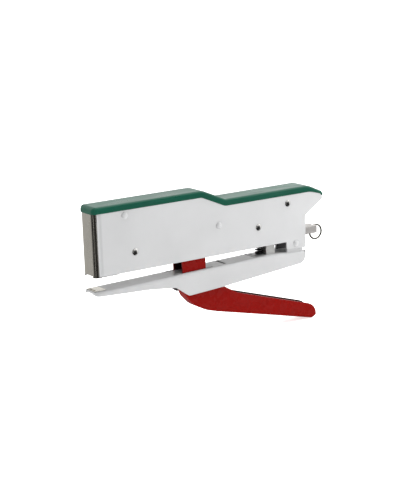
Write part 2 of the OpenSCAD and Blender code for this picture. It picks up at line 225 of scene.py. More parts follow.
def loft(name, rings):
    """A skin over equal rings of points in mm, with a face at each end."""
    bm = bmesh.new()
    made = [[bm.verts.new(at(*p)) for p in ring] for ring in rings]
    for a, b in zip(made, made[1:]):
        for k in range(len(a)):
            m = (k + 1) % len(a)
            bm.faces.new((a[k], a[m], b[m], b[k]))
    bm.faces.new(made[0])
    bm.faces.new(made[-1])
    return from_bmesh(name, bm)


def prism(name, outline, y0, y1):
    """A side-view outline extruded across the body."""
    return loft(name, [[(x, y, z) for x, z, _ in outline] for y in (y0, y1)])


def finer(outline, step):
    """The outline with extra points, so that no two are more than step apart."""
    points = []
    for (x0, z0, i), (x1, z1, _) in zip(outline, outline[1:] + outline[:1]):
        parts = max(1, ceil(sqrt((x1 - x0) ** 2 + (z1 - z0) ** 2) / step))
        for k in range(parts):
            points.append((x0 + (x1 - x0) * k / parts, z0 + (z1 - z0) * k / parts, i))
    return points


def folded(name, outline, half, radius, first, last):
    """A side-view outline of width 2 * half, with two long edges rounded as in a folded sheet.

    The rounding runs between the corners numbered first and last, and fades in at each end.
    """
    fade = 3.0
    arc_steps = 7
    points = [Vector((x, z)) for x, z, _ in outline]
    count = len(points)
    area = sum(points[k - 1].x * points[k].y - points[k].x * points[k - 1].y for k in range(count))
    inside = 1 if area > 0 else -1
    normals = []
    for k in range(count):
        way = (points[(k + 1) % count] - points[k - 1]).normalized()
        normals.append(Vector((-way.y, way.x)) * inside)
    begin = next(k for k in range(count) if outline[k][2] == first)
    end = max(k for k in range(count) if outline[k][2] == last)
    reach = [0.0]
    for k in range(begin, end):
        reach.append(reach[-1] + (points[k + 1] - points[k]).length)
    weights = [0.0] * count
    for k in range(begin, end + 1):
        share = min(1, reach[k - begin] / fade, (reach[-1] - reach[k - begin]) / fade)
        weights[k] = share * share * (3 - 2 * share)
    rings = []
    for side, order in ((-1, range(arc_steps, -1, -1)), (1, range(arc_steps + 1))):
        for k in order:
            angle = k / arc_steps * pi / 2
            y = side * (half - radius + radius * sin(angle))
            inset = radius - radius * cos(angle)
            moved = [p + n * inset * w for p, n, w in zip(points, normals, weights)]
            rings.append([(p.x, y, p.y) for p in moved])
    return loft(name, rings)


def plan_prism(name, outline, z0, z1):
    """A plan outline of (x, y) points, extruded upward."""
    return loft(name, [[(x, y, z) for x, y, _ in outline] for z in (z0, z1)])


def block(name, x0, x1, y0, y1, z0, z1):
    """A block with square corners, for cutting or for softening."""
    return prism(name, [(x0, z0, 0), (x1, z0, 1), (x1, z1, 2), (x0, z1, 3)], y0, y1)


def circle(centre, radius, steps):
    """Points round a centre, from angle 0."""
    return [
        (
            centre[0] + radius * cos(2 * pi * k / steps),
            centre[1] + radius * sin(2 * pi * k / steps),
            0,
        )
        for k in range(steps)
    ]


def across(name, centre, radius, y0, y1):
    """A round cutter across the body."""
    return prism(name, circle(centre, radius, 40), y0, y1)


def upright(name, x, y, radius, z0, z1):
    """A round cutter along Z."""
    return plan_prism(name, circle((x, y), radius, 24), z0, z1)


def bake_modifiers(piece):
    """Turns a piece's modifiers into mesh."""
    graph = bpy.context.evaluated_depsgraph_get()
    mesh = bpy.data.meshes.new_from_object(piece.evaluated_get(graph), depsgraph=graph)
    piece.modifiers.clear()
    piece.data = mesh
    return piece


def clean(piece):
    """Merges the slivers that cutting and bevelling leave on flat faces."""
    sliver = 0.01 * MM
    bm = bmesh.new()
    bm.from_mesh(piece.data)
    bmesh.ops.remove_doubles(bm, verts=bm.verts, dist=sliver)
    bmesh.ops.dissolve_degenerate(bm, edges=bm.edges, dist=sliver)
    bmesh.ops.dissolve_limit(bm, angle_limit=radians(0.5), verts=bm.verts, edges=bm.edges)
    bm.to_mesh(piece.data)
    bm.free()
    return piece


def cut(piece, cutters):
    """Takes the cutters out of a piece."""
    for cutter in cutters:
        modifier = piece.modifiers.new("cut", "BOOLEAN")
        modifier.object = cutter
        modifier.operation = "DIFFERENCE"
        modifier.solver = "MANIFOLD"
    bake_modifiers(piece)
    for cutter in cutters:
        bpy.data.objects.remove(cutter)
    return clean(piece)


def soften(piece, width, steps=2, sharper_than=40):
    """Rounds the sharp edges a little, as pressing, deburring and paint leave them."""
    bevel = piece.modifiers.new("soften", "BEVEL")
    bevel.width = width * MM
    bevel.segments = steps
    bevel.limit_method = "ANGLE"
    bevel.angle_limit = radians(sharper_than)
    bevel.use_clamp_overlap = True
    bevel.miter_outer = "MITER_ARC"
    return clean(bake_modifiers(piece))


def shade(piece, angle=38):
    """Smooth shading, split where faces meet at more than angle degrees."""
    piece.data.shade_smooth()
    piece.data.set_sharp_from_angle(angle=radians(angle))
    normals = piece.modifiers.new("normals", "WEIGHTED_NORMAL")
    normals.keep_sharp = True
    return bake_modifiers(piece)


def joined(name, parts):
    """One piece from several meshes."""
    bm = bmesh.new()
    for part in parts:
        bm.from_mesh(part.data)
        bpy.data.objects.remove(part)
    mesh = bpy.data.meshes.new(name)
    bm.to_mesh(mesh)
    bm.free()
    return new_object(name, mesh)


def wire(name, path, radius, sides=14):
    """A round wire with domed ends along path, a list of points in mm."""
    points = [Vector(p) for p in path]
    last = len(points) - 1
    ways = [
        (points[min(i + 1, last)] - points[max(i - 1, 0)]).normalized() for i in range(last + 1)
    ]
    side = ways[0].orthogonal().normalized()
    rings = []
    for i, (point, way) in enumerate(zip(points, ways)):
        side = (side - way * side.dot(way)).normalized()
        up = way.cross(side)
        domes = [(0.0, 1.0)]
        if i == 0:
            domes = [(-0.9, 0.3), (-0.6, 0.75), (0.0, 1.0)]
        if i == last:
            domes = [(0.0, 1.0), (0.6, 0.75), (0.9, 0.3)]
        for forward, share in domes:
            centre = point + way * radius * forward * 0.6
            angles = [2 * pi * k / sides for k in range(sides)]
            rings.append([centre + radius * share * (side * cos(a) + up * sin(a)) for a in angles])
    return loft(name, rings)


def helix(start, along, radius, length, turns, wire_r, per_turn=20):
    """Points of a coil spring with closed ends, from start and along a unit vector."""
    along = Vector(along)
    side = along.orthogonal().normalized()
    up = along.cross(side)
    points = []
    total = turns * per_turn
    free = length - 4 * wire_r
    for k in range(total + 1):
        turn = k / per_turn
        middle = min(max((turn - 1) / (turns - 2), 0), 1)
        closed = wire_r * (min(turn, 1) + max(turn - (turns - 1), 0))
        forward = wire_r + closed + middle * free
        angle = 2 * pi * turn
        outward = side * cos(angle) + up * sin(angle)
        points.append(Vector(start) + along * forward + radius * outward)
    return points


def arc(centre, radius, start, end, steps):
    """Points of an arc in the side view, with angles in degrees."""
    angles = [radians(start + (end - start) * k / steps) for k in range(steps + 1)]
    return [(centre[0] + radius * cos(a), 0, centre[1] + radius * sin(a)) for a in angles]


# ---------------------------------------------------------------- materials


class Finish:
    """A procedural material. Its textures use object coordinates, in metres."""

    def __init__(self, name, **sockets):
        self.material = bpy.data.materials.new(name)
        self.material.use_nodes = True
        self.tree = self.material.node_tree
        self.shader = self.tree.nodes["Principled BSDF"]
        self.place = self.add("ShaderNodeTexCoord").outputs["Object"]
        self.rounded_normal = None
        for socket, value in sockets.items():
            self.shader.inputs[socket.replace("_", " ")].default_value = value

    def add(self, kind, **settings):
        node = self.tree.nodes.new(kind)
        for key, value in settings.items():
            setattr(node, key, value)
        return node

    def link(self, source, target):
        self.tree.links.new(source, target)

    def noise(self, scale, stretch=(1, 1, 1), detail=3.0, roughness=0.5):
        """Noise with scale features to the metre, squeezed along each axis by stretch."""
        mapping = self.add("ShaderNodeMapping")
        mapping.inputs["Scale"].default_value = stretch
        self.link(self.place, mapping.inputs["Vector"])
        texture = self.add("ShaderNodeTexNoise")
        texture.inputs["Scale"].default_value = scale
        texture.inputs["Detail"].default_value = detail
        texture.inputs["Roughness"].default_value = roughness
        self.link(mapping.outputs["Vector"], texture.inputs["Vector"])
        return texture.outputs["Fac"]

    def ramp(self, source, *stops):
        """Colours at places from 0 to 1 along source."""
        node = self.add("ShaderNodeValToRGB")
        elements = node.color_ramp.elements
        while len(elements) < len(stops):
            elements.new(0.5)
        for element, (place, colour) in zip(elements, stops):
            element.position = place
            element.color = (*colour, 1)
        self.link(source, node.inputs["Fac"])
        return node.outputs["Color"]

    def levels(self, source, low, high, start=0.3, end=0.7):
        """Low where source is at start or below, and high where it is at end or above."""
        node = self.add("ShaderNodeMapRange")
        node.inputs["From Min"].default_value = start
        node.inputs["From Max"].default_value = end
        node.inputs["To Min"].default_value = low
        node.inputs["To Max"].default_value = high
        self.link(source, node.inputs["Value"])
        return node.outputs["Result"]

    def mix(self, factor, a, b):
        """Colour a where factor is 0 and b where it is 1. Each is a socket or a constant."""
        node = self.add("ShaderNodeMix", data_type="RGBA")
        sockets = (node.inputs["Factor"], node.inputs[6], node.inputs[7])
        for socket, value in zip(sockets, (factor, a, b)):
            if isinstance(value, (int, float)):
                socket.default_value = value
            elif isinstance(value, tuple):
                socket.default_value = (*value, 1)
            else:
                self.link(value, socket)
        return node.outputs[2]

    def total(self, a, b, share=1.0):
        """a plus share times b."""
        node = self.add("ShaderNodeMath", operation="MULTIPLY_ADD")
        self.link(b, node.inputs[0])
        node.inputs[1].default_value = share
        self.link(a, node.inputs[2])
        return node.outputs["Value"]

    def colour(self, source):
        self.link(source, self.shader.inputs["Base Color"])

    def roughness(self, source):
        self.link(source, self.shader.inputs["Roughness"])

    def bump(self, height, depth):
        """Relief of depth mm where height goes from 0 to 1."""
        node = self.add("ShaderNodeBump")
        node.inputs["Distance"].default_value = depth * MM
        node.inputs["Strength"].default_value = 1.0
        self.link(height, node.inputs["Height"])
        if self.rounded_normal:
            self.link(self.rounded_normal, node.inputs["Normal"])
        self.link(node.outputs["Normal"], self.shader.inputs["Normal"])

    def edges(self):
        """Share of wear, high within reach mm of an edge. The relief is rounded there too."""
        reach, low, high = 0.35, 0.02, 0.30
        bevel = self.add("ShaderNodeBevel", samples=6)
        bevel.inputs["Radius"].default_value = reach * MM
        self.rounded_normal = bevel.outputs["Normal"]
        turn = self.add("ShaderNodeVectorMath", operation="DOT_PRODUCT")
        self.link(bevel.outputs["Normal"], turn.inputs[0])
        self.link(self.add("ShaderNodeNewGeometry").outputs["Normal"], turn.inputs[1])
        return self.levels(turn.outputs["Value"], 1, 0, 1 - high, 1 - low)

    def inward(self):
        """1 on walls that face the middle plane, and 0 elsewhere."""
        parts = []
        for source in (self.place, self.add("ShaderNodeNewGeometry").outputs["True Normal"]):
            apart = self.add("ShaderNodeSeparateXYZ")
            self.link(source, apart.inputs["Vector"])
            parts.append(apart.outputs["Y"])
        side = self.add("ShaderNodeMath", operation="SIGN")
        self.link(parts[0], side.inputs[0])
        facing = self.add("ShaderNodeMath", operation="MULTIPLY")
        self.link(side.outputs["Value"], facing.inputs[0])
        self.link(parts[1], facing.inputs[1])
        return self.levels(facing.outputs["Value"], 1, 0, -0.7, -0.4)


def tint(colour, share):
    return tuple(min(1, c * share) for c in colour)


def painted(name, colour, gloss, coat, peel=0.006, shine=0.5):
    """Stoved paint on steel: orange peel of peel mm, cloudy gloss, and edges a little paler.

    Walls that face the middle plane carry only a thin coat over dark steel.
    """
    finish = Finish(
        name, Metallic=0.0, Coat_Weight=coat, Coat_Roughness=0.12, Specular_IOR_Level=shine, IOR=1.5
    )
    clouds = finish.noise(38, detail=4)
    tone = finish.ramp(clouds, (0.3, tint(colour, 0.955)), (0.7, tint(colour, 1.03)))
    specks = finish.levels(finish.noise(1900, detail=2), 0, 0.06, 0.62, 0.74)
    tone = finish.mix(specks, tone, tint(colour, 0.78))
    worn = finish.mix(0.35, tone, tint(tuple(c + 0.05 for c in colour), 1.12))
    tone = finish.mix(finish.edges(), tone, worn)
    finish.colour(finish.mix(finish.inward(), tone, tint(colour, 0.12)))
    finish.roughness(finish.levels(finish.noise(170, detail=5), gloss - 0.05, gloss + 0.08))
    finish.bump(finish.total(finish.noise(750, detail=2), finish.noise(2600, detail=2), 0.25), peel)
    return finish.material


def moulded(name, colour):
    """Glossy moulded plastic with faint flow marks and fine scuffs."""
    finish = Finish(
        name, Metallic=0.0, IOR=1.49, Coat_Weight=0.05, Coat_Roughness=0.1, Specular_IOR_Level=0.44
    )
    flow = finish.noise(45, stretch=(0.35, 1, 1), detail=4)
    tone = finish.ramp(flow, (0.3, tint(colour, 0.84)), (0.7, tint(colour, 1.14)))
    scuffs = finish.levels(finish.noise(900, stretch=(0.06, 1, 1), detail=2), 0, 0.30, 0.60, 0.74)
    tone = finish.mix(scuffs, tone, tint(tuple(c + 0.006 for c in colour), 1.35))
    finish.colour(tone)
    finish.roughness(finish.levels(finish.noise(240, stretch=(0.2, 1, 1), detail=5), 0.26, 0.40))
    finish.bump(finish.total(finish.noise(420, detail=3), finish.noise(3200, detail=1), 0.3), 0.008)
    return finish.material


def plated(name, colour, rough, lines=(1, 1, 0.03), depth=0.0015, metal=1.0):
    """Plated steel: drawing lines along one way, faint stains and pits of depth mm."""
    stain = (0.30, 0.27, 0.21)
    finish = Finish(name, Metallic=metal)
    drawing = finish.noise(2600, stretch=lines, detail=3, roughness=0.6)
    clouds = finish.noise(120, detail=5)
    tone = finish.ramp(clouds, (0.25, tint(colour, 0.86)), (0.65, colour))
    tone = finish.mix(finish.levels(drawing, 0, 0.22), tone, tint(colour, 0.66))
    spots = finish.levels(finish.noise(520, detail=6, roughness=0.65), 0, 0.55, 0.62, 0.76)
    finish.colour(finish.mix(spots, tone, stain))
    cloudy = finish.total(clouds, drawing, 0.4)
    finish.roughness(finish.levels(cloudy, rough - 0.05, rough + 0.09, 0.3, 1.0))
    finish.bump(finish.total(drawing, finish.noise(900, detail=2), 0.5), depth)
    return finish.material


def ground(name, colour, rough, lines=(0.04, 1, 1)):
    """Ground or rolled steel with grinding lines and an oily film."""
    finish = Finish(name, Metallic=1.0)
    grind = finish.noise(3200, stretch=lines, detail=4, roughness=0.6)
    film = finish.noise(90, detail=5)
    tone = finish.ramp(film, (0.3, tint(colour, 0.72)), (0.7, tint(colour, 1.15)))
    finish.colour(finish.mix(finish.levels(grind, 0, 0.4), tone, tint(colour, 0.5)))
    filmed = finish.total(grind, film, 0.5)
    finish.roughness(finish.levels(filmed, rough - 0.08, rough + 0.12, 0.35, 1.1))
    finish.bump(grind, 0.003)
    return finish.material


WHITE = painted("white_paint", (0.485, 0.488, 0.492), 0.36, 0.25)
RED = painted("red_paint", (0.205, 0.0022, 0.0006), 0.26, 0.0, peel=0.003, shine=0.14)
GREEN = moulded("green_plastic", (0.0012, 0.070, 0.041))
NICKEL = plated("nickel", (0.66, 0.63, 0.56), 0.24)
TUBE_NICKEL = plated("tube_nickel", (0.57, 0.55, 0.535), 0.48, lines=(0.03, 1, 1), metal=0.6)
DOME = plated("polished_nickel", (0.80, 0.79, 0.77), 0.17, lines=(1, 1, 1), depth=0.0006)
BRIGHT = plated("bright_nickel", (0.72, 0.715, 0.70), 0.40, lines=(0.05, 1, 1), metal=0.5)
WIRE = plated("plated_wire", (0.46, 0.44, 0.39), 0.12, lines=(0.1, 1, 1), depth=0.001)
ZINC = ground("zinc_steel", (0.52, 0.52, 0.53), 0.38)
HARD = ground("hard_steel", (0.34, 0.34, 0.35), 0.30)
SPRING = ground("spring_steel", (0.10, 0.10, 0.105), 0.30, lines=(1, 1, 1))


def dress(piece, body, slot, material, *nodes):
    """Gives a piece its material, its body, its record slot and the CAD nodes it stands for."""
    piece.data.materials.clear()
    piece.data.materials.append(material)
    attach(piece, body)
    if nodes:
        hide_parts(*nodes)
    return piece


# ---------------------------------------------------------------- body


def top_edge(lift):
    """The side plates' upper edge behind the front flat, raised by lift."""
    shift = lift * tan(radians(STEP_ANGLE / 2))
    return [
        (STEP_X + shift, FRONT_TOP + lift, 6 + lift),
        (STEP_X + STEP_RUN + shift, REAR_TOP + lift, max(1, 8 - lift)),
        (BODY_LENGTH + 4 - lift * 0.3, REAR_TOP + lift, 14),
        (TAIL_TIP[0] - 2 + lift * 0.4, REAR_TOP - 2.2 + lift * 0.3, 3),
    ]


def side_plate(side):
    """A pressed plate. Its front margin is drawn in a little, towards the nose."""
    name = "left_side_plate" if side < 0 else "right_side_plate"
    margin = 3.0
    drawn_in = 0.55
    slices = 14
    turn_back = 0.78  # share of the margin's width where the dip is deepest
    outline = rounded([
        (PLATE_FRONT, 0, 0.5),
        (135, 0, 0.8),
        (135, -4.6, 1),
        (BODY_LENGTH - 0.2, -5.6, 1.5),
        (BODY_LENGTH - 0.2, 15.2, 1.5),
        (*TAIL_TIP, 1.2),
        *reversed(top_edge(0)),
        (PLATE_FRONT, FRONT_TOP, 0),
    ])
    plate = prism(name, outline, *sorted((side * HALF, side * PLATE_IN)))
    places = [FRONT_RIVET, *MAGAZINE_RIVETS, STOP_RIVET, LEVER_PIVOT, ARM_HINGE]
    cut(plate, [across("hole", place, PIN_R, -HALF - 2, HALF + 2) for place in places])
    soften(plate, 0.22)
    bm = bmesh.new()
    bm.from_mesh(plate.data)
    for k in range(1, slices + 1):
        bmesh.ops.bisect_plane(
            bm, geom=bm.verts[:] + bm.edges[:] + bm.faces[:],
            plane_co=at(PLATE_FRONT + margin * k / slices, 0, 0), plane_no=(1, 0, 0),
        )
    for vert in bm.verts:
        x, y, _ = (vert.co - ORIGIN) / MM
        share = 1 - (x - PLATE_FRONT) / margin
        if share > 0 and abs(y) > (HALF + PLATE_IN) / 2:
            along = min(share / turn_back, 1)
            back = max(share - turn_back, 0) / 0.22
            dip = along * along * (3 - 2 * along) - 0.25 * back
            vert.co.y -= side * drawn_in * dip * MM
    bm.to_mesh(plate.data)
    bm.free()
    node = "side_plate_" + ("left" if side < 0 else "right")
    dress(shade(plate), "body", "white_paint", WHITE, node)


def round_inset(depth, radius):
    """How far a round end is drawn in at depth mm from its tip."""
    depth = min(depth, radius)
    return radius - sqrt(max(0, radius**2 - (radius - depth) ** 2))


def top_cap():
    """A moulded cap with full round corners, stepped like the plates and thinned to a beak."""
    corner = 2.7
    rear_corner = 1.2
    shoulder = 1.5
    arc_steps = 8
    half = cap_high.y
    front = cap_low.x
    rear = cap_high.x
    beak_z = (REAR_TOP - 2.2 + TAIL_TIP[1]) / 2
    top = chain([
        (front, FRONT_TOP + CAP_LIFT, 0),
        *top_edge(CAP_LIFT),
        (rear, beak_z + 0.9, 0),
    ])
    lower = top_edge(0)
    bottom = chain([
        (front, FRONT_TOP, 0),
        *lower,
        (lower[-1][0] + 1, beak_z, 0),
        (rear, beak_z + 0.15, 0),
    ])
    close = [
        (front, corner, 0.12), (STEP_X, 3, 0.5), (STEP_X + STEP_RUN, 3, 0.5),
        (BODY_LENGTH + 6, 8, 0.6), (rear, 3.5, 0.2),
    ]
    rings = []
    for x in stations(front, rear, 3, close):
        inset = round_inset(x - front, corner)
        rear_inset = round_inset(rear - x, rear_corner)
        w = half - inset - rear_inset
        z1 = top(x) - inset
        z0 = bottom(x)
        r = max(0.12, min(shoulder, corner - inset, 0.72 * (z1 - z0)))
        lip = min(0.3, 0.2 * (z1 - z0))
        ring = [(x, -w + lip, z0), (x, -w, z0 + lip)]
        for side, order in ((-1, range(arc_steps + 1)), (1, range(arc_steps, -1, -1))):
            for k in order:
                a = k / arc_steps * pi / 2
                ring.append((x, side * (w - r + r * cos(a)), z1 - r + r * sin(a)))
        ring += [(x, w, z0 + lip), (x, w - lip, z0)]
        rings.append(ring)
    ribs = [
        soften(block("rib", x0, x1, -PLATE_IN, PLATE_IN, z - 1, z), 0.15)
        for x0, x1, z in (
            (FRONT_RIVET[0] + 4, STEP_X - 4, FRONT_TOP),
            (STEP_X + STEP_RUN + 3, BODY_LENGTH, REAR_TOP),
        )
    ]
    cap = joined("moulded_cap", [loft("shell", rings), *ribs])
    dress(shade(cap, 30), "body", "green_plastic", GREEN, "top_cap")


def nose():
    """Drawn U with round corners. The front face ends a little above the cheeks."""
    face_low = 0.4
    face_half = 4.2
    inner = PLATE_IN - NOSE_SHEET
    face_in = NOSE_FRONT + NOSE_SHEET
    outer_plan = rounded([
        (NOSE_FRONT, -PLATE_IN, NOSE_R), (NOSE_BACK, -PLATE_IN, 0), (NOSE_BACK, PLATE_IN, 0),
        (NOSE_FRONT, PLATE_IN, NOSE_R),
    ], 14)
    inner_plan = rounded([
        (face_in, -inner, NOSE_R - NOSE_SHEET), (NOSE_BACK + 1, -inner, 0),
        (NOSE_BACK + 1, inner, 0), (face_in, inner, NOSE_R - NOSE_SHEET),
    ], 10)
    shell = plan_prism("nose_sleeve", outer_plan, -NOSE_DROP, FRONT_TOP)
    cut(shell, [
        plan_prism("inside", inner_plan, -NOSE_DROP - 1, FRONT_TOP + 1),
        block(
            "front_cut", NOSE_FRONT - 1, face_in + 0.4, -face_half, face_half,
            -NOSE_DROP - 1, face_low,
        ),
    ])
    dress(shade(soften(shell, 0.12)), "body", "nickel", NICKEL, "nose_shell")


def magazine():
    """Folded box with round corners and an open seam below."""
    r = 0.7
    wall = 0.4
    seam = 1.1
    half = tube_high.y
    low, high = tube_low.z, tube_high.z

    def section(inset):
        corner = r - inset * 0.9
        edge = half - inset
        points = []
        for cy, cz, first in (
            (-edge + corner, low + inset + corner, 270),
            (-edge + corner, high - inset - corner, 180),
            (edge - corner, high - inset - corner, 90),
            (edge - corner, low + inset + corner, 0),
        ):
            for k in range(6):
                a = radians(first - 90 * k / 5)
                points.append((cy + corner * cos(a), cz + corner * sin(a)))
        return [(-seam, low + inset), *points, (seam, low + inset)]

    ring = section(0) + section(wall)[::-1]
    front, rear = tube_low.x, tube_high.x
    tube = loft("magazine_box", [[(x, y, z) for y, z in ring] for x in (front, rear)])
    cut(tube, [block("notch", rear - 1.9, rear + 1, -seam, seam, high - 1, high + 1)])
    dress(shade(soften(tube, 0.08, 1)), "body", "nickel", TUBE_NICKEL, "magazine_tube")


def turned(name, centre, profile, side):
    """A round piece across the body. The profile is (radius, distance out) for each ring."""
    return loft(name, [
        [(x, side * out, z) for x, z, _ in circle(centre, radius, 36)] for radius, out in profile
    ])


def rivet(name, centre):
    """A shank with a domed head on each side, each with a small pressed rim."""
    ball = (HEAD_R**2 + HEAD_HEIGHT**2) / (2 * HEAD_HEIGHT)
    reach = asin(HEAD_R / ball)
    dome = []
    for k in range(11):
        angle = reach * (1 - k / 10)
        dome.append((max(0.02, ball * sin(angle)), HALF + HEAD_HEIGHT - ball * (1 - cos(angle))))
    dome[0] = (HEAD_R, HALF + 0.02)
    dome.insert(1, (HEAD_R, HALF + 0.12))
    profile = [(PIN_R, 0), (PIN_R, HALF), *dome]
    halves = [turned(name, centre, profile, side) for side in (-1, 1)]
    bm = bmesh.new()
    for half_rivet in halves:
        bm.from_mesh(half_rivet.data)
        bpy.data.objects.remove(half_rivet)
    middle = [f for f in bm.faces if all(abs(v.co.y) < 1e-7 for v in f.verts)]
    bmesh.ops.delete(bm, geom=middle, context="FACES_ONLY")
    bmesh.ops.remove_doubles(bm, verts=bm.verts, dist=1e-6)
    return from_bmesh(name, bm)


def rivets():
    for name, slot, material, node, centres in (
        ("painted_rivet_heads", "white_paint", WHITE, "painted_rivets",
         [FRONT_RIVET, STOP_RIVET]),
        ("plated_rivet_heads", "plated_rivet", DOME, "plated_rivets", MAGAZINE_RIVETS),
        ("lever_pivot_rivet", "plated_rivet", DOME, "lever_pivot_pin", [LEVER_PIVOT]),
        ("hinge_rivet", "white_paint", WHITE, "hinge_pin", [ARM_HINGE]),
    ):
        piece = joined(name, [rivet(name, centre) for centre in centres])
        dress(shade(piece, 40), "body", slot, material, node)


# ---------------------------------------------------------------- arm


def channel_ring(x, half, top, low, sheet, bend):
    """Section of an inverted channel at x: its outer skin from left to right, and back inside."""
    arc_steps = 6
    bend = min(bend, 0.85 * (top - low))
    inner = max(0.15, bend - sheet)
    outer_line = [(-half, low)]
    inner_line = [(-half + sheet, low)]
    for side, order in ((-1, range(arc_steps + 1)), (1, range(arc_steps, -1, -1))):
        for k in order:
            a = k / arc_steps * pi / 2
            outer_line.append((side * (half - bend + bend * cos(a)), top - bend + bend * sin(a)))
            inner_line.append((
                side * (half - sheet - inner + inner * cos(a)),
                top - sheet - inner + inner * sin(a),
            ))
    outer_line.append((half, low))
    inner_line.append((half - sheet, low))
    return [(x, y, z) for y, z in outer_line + inner_line[::-1]]


def anvil_rivet_holes():
    """Cutters for the two rivets that hold the anvil plate."""
    x, y, radius = 4.9, 3.9, 0.7
    return [upright("anvil_rivet", x, side * y, radius, -12, -6) for side in (-1, 1)]


def hinge_ear(side):
    """A small plate that rises from the arm's rear end to the hinge pin."""
    middle, thick = side * 5.9, 1.2
    x, z = ARM_HINGE
    outline = rounded([
        (135.6, -8.2, 0), (148.4, -8.2, 0), (x + 4, z + 4, 3.8), (x - 4, z + 4, 3.8),
    ])
    ear = prism("ear", outline, middle - thick / 2, middle + thick / 2)
    cut(ear, [across("hole", ARM_HINGE, PIN_R + 0.04, -HALF - 1, HALF + 1)])
    return soften(ear, 0.15)


def anvil_arm():
    """Channel with soft bends, round in plan at the tip, with slots and the hinge ears."""
    front, rear = ARM_FRONT, BODY_LENGTH - 0.4
    tip = 3.4
    low = chain([
        (front, -10.7, 0), (front + 0.9, -11.32, 0.8), (34, -13, 40), (52.4, -15.1, 4),
        (61.6, -21.6, 1), (88, -20.1, 60), (rear - 0.1, -15, 5.5), (rear, -8.5, 0),
    ])
    close = [
        (front, tip, 0.2), (50, 3, 0.4), (61.6, 1.2, 0.2), (rear, 6.5, 0.3), (rear, 1.2, 0.06),
        (ARM_CREST_X, 3, 0.6),
    ]
    rings = []
    for x in stations(front, rear, 2.5, close):
        half = HALF - round_inset(x - front, tip)
        rings.append(channel_ring(x, half, arm_top(x), low(x), ARM_SHEET, ARM_BEND))
    arm = loft("pressed_arm", rings)
    wall = HANDLE_HALF - HANDLE_SHEET / 2
    slot_half = HANDLE_SHEET / 2 + 0.25
    cutters = [
        block("handle_slot", 52.6, 80.6, side * wall - slot_half, side * wall + slot_half, -12, 0)
        for side in (-1, 1)
    ]
    cutters += [
        block("cross_slot", x, x + width, -5, 5, -12, 0)
        for x, width in ((89.2, 1.8), (111.4, 1), (113.8, 1))
    ]
    cutters += [
        block(
            "anvil_seat", anvil_low.x - 0.1, anvil_high.x + 0.1,
            -anvil_high.y - 0.1, anvil_high.y + 0.1, anvil_low.z, 0,
        ),
        across("pivot", HANDLE_PIVOT, PIN_R, -HALF - 1, HALF + 1),
        *anvil_rivet_holes(),
    ]
    cut(arm, cutters)
    soften(arm, 0.12, 1, 50)
    piece = joined("pressed_arm_and_ears", [arm, hinge_ear(-1), hinge_ear(1)])
    dress(shade(piece), "arm", "white_paint", WHITE, "anvil_arm")


def anvil():
    """Plate with a groove that turns the staple's legs over, sunk into the arm."""
    groove_depth = 0.45
    plate = block(
        "anvil_block", anvil_low.x, anvil_high.x, anvil_low.y, anvil_high.y,
        anvil_low.z, anvil_high.z,
    )
    groove = block("groove", -0.9, 0.3, -3.6, 3.6, anvil_high.z - groove_depth, 0)
    cut(plate, [groove, *anvil_rivet_holes()])
    dress(shade(soften(plate, 0.1)), "arm", "nickel", NICKEL, "anvil_plate")


def spring_bracket():
    """Folded U with round bends, open to the front."""
    sheet = 0.8
    x0, x1, half = bracket_low.x, bracket_high.x, bracket_high.y
    outline = rounded([
        (x0, -half, 0), (x1, -half, 1.3), (x1, half, 1.3), (x0, half, 0),
        (x0, half - sheet, 0), (x1 - sheet, half - sheet, 0.5),
        (x1 - sheet, sheet - half, 0.5), (x0, sheet - half, 0),
    ], 6)
    piece = plan_prism("spring_guard", outline, bracket_low.z, bracket_high.z)
    dress(shade(soften(piece, 0.12)), "arm", "nickel", BRIGHT, "spring_bracket")


def springs():
    """Wire coils with closed ends. Each one shortens with the joint that squeezes it."""
    wire_r = 0.4
    x = (return_low.x + return_high.x) / 2
    height = return_high.z - return_low.z
    path = helix((x, 0, return_low.z), (0, 0, 1), 2.2, height, 6, wire_r)
    coil = wire("return_coil", path, wire_r, 10)
    dress(shade(coil, 60), "arm", "spring_steel", SPRING, "return_spring")
    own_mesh(coil)

    wire_r = 0.35
    x = (lift_low.x + lift_high.x) / 2
    height = lift_high.z - lift_low.z
    path = helix((x, 0, lift_low.z), (0, 0, 1), 2.0, height, 9, wire_r)
    coil = wire("lever_coil", path, wire_r, 10)
    dress(shade(coil, 60), "body", "spring_steel", SPRING, "lever_spring")
    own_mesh(coil)

    wire_r = 0.25
    length = PLUG_FRONT - FOLLOWER_REAR
    path = helix((FOLLOWER_REAR, 0, ROD_Z), (1, 0, 0), 1.2, length, 46, wire_r, 14)
    coil = wire("pusher_coil", path, wire_r, 8)
    dress(shade(coil, 60), "pusher_rod", "spring_steel", SPRING, "pusher_spring")
    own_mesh(coil)


# ---------------------------------------------------------------- handle


